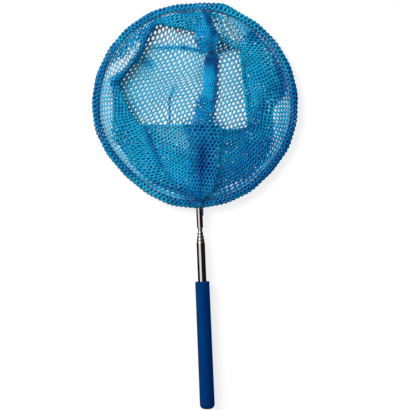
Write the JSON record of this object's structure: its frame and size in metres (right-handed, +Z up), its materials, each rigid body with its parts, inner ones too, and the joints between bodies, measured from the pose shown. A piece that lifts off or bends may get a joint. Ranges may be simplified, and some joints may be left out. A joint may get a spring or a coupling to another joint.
{
  "type": "insect net",
  "caption": "Insect net: a round wire hoop with a folded net bag, on a telescopic handle of nested tubes with a foam grip.",
  "frame": {"origin": "on the ground, under the middle of the whole net's outline", "axes": "+Y along the handle from the butt end to the hoop, +Z up out of the mouth of the bag, +X to the right when seen from above with the hoop away from the viewer"},
  "size_m": [0.204, 0.4024, 0.0148],
  "materials": {
    "grip_foam": "matt moulded foam skin",
    "tube_chrome": "polished plating on drawn tube",
    "socket_chrome": "polished plating on drawn tube",
    "hoop_steel": "drawn spring wire",
    "inner_plastic": "moulded",
    "leaf_brass": "rolled strip",
    "net_mesh": "knitted net",
    "net_seam": "doubled knitted net",
    "sewing_thread": "twisted thread"
  },
  "bodies": {
    "net_head": {"tube_5": "tube_chrome", "tail_bush_5": "inner_plastic", "hoop_socket": "socket_chrome", "hoop_wire": "hoop_steel", "net_hem": "net_mesh", "hem_thread": "sewing_thread", "net_side": "net_mesh", "net_bottom": "net_mesh", "centre_seam": "net_seam"},
    "leaves_5": {"friction_leaf_5_a": "leaf_brass", "friction_leaf_5_b": "leaf_brass"},
    "section_4": {"tube_4": "tube_chrome", "tail_bush_4": "inner_plastic"},
    "leaves_4": {"friction_leaf_4_a": "leaf_brass", "friction_leaf_4_b": "leaf_brass"},
    "section_3": {"tube_3": "tube_chrome", "tail_bush_3": "inner_plastic"},
    "leaves_3": {"friction_leaf_3_a": "leaf_brass", "friction_leaf_3_b": "leaf_brass"},
    "section_2": {"tube_2": "tube_chrome", "tail_bush_2": "inner_plastic"},
    "leaves_2": {"friction_leaf_2_a": "leaf_brass", "friction_leaf_2_b": "leaf_brass"},
    "handle": {"tube_1": "tube_chrome", "tail_plug": "inner_plastic", "grip": "grip_foam"}
  },
  "joints": [
    {"name": "turn_5", "type": "hinge", "parent": "net_head", "child": "leaves_5", "pos_m": [0, -0.1, 0.0074], "axis": [0, 1, 0], "continuous": true},
    {"name": "slide_5", "type": "slide", "parent": "leaves_5", "child": "section_4", "axis": [0, -1, 0], "range_m": [0, 0.1108]},
    {"name": "turn_4", "type": "hinge", "parent": "section_4", "child": "leaves_4", "pos_m": [0, -0.1, 0.0074], "axis": [0, 1, 0], "continuous": true},
    {"name": "slide_4", "type": "slide", "parent": "leaves_4", "child": "section_3", "axis": [0, -1, 0], "range_m": [0, 0.1149]},
    {"name": "turn_3", "type": "hinge", "parent": "section_3", "child": "leaves_3", "pos_m": [0, -0.1, 0.0074], "axis": [0, 1, 0], "continuous": true},
    {"name": "slide_3", "type": "slide", "parent": "leaves_3", "child": "section_2", "axis": [0, -1, 0], "range_m": [0, 0.119]},
    {"name": "turn_2", "type": "hinge", "parent": "section_2", "child": "leaves_2", "pos_m": [0, -0.1, 0.0074], "axis": [0, 1, 0], "continuous": true},
    {"name": "slide_2", "type": "slide", "parent": "leaves_2", "child": "handle", "axis": [0, -1, 0], "range_m": [0, 0.1231]}
  ]
}
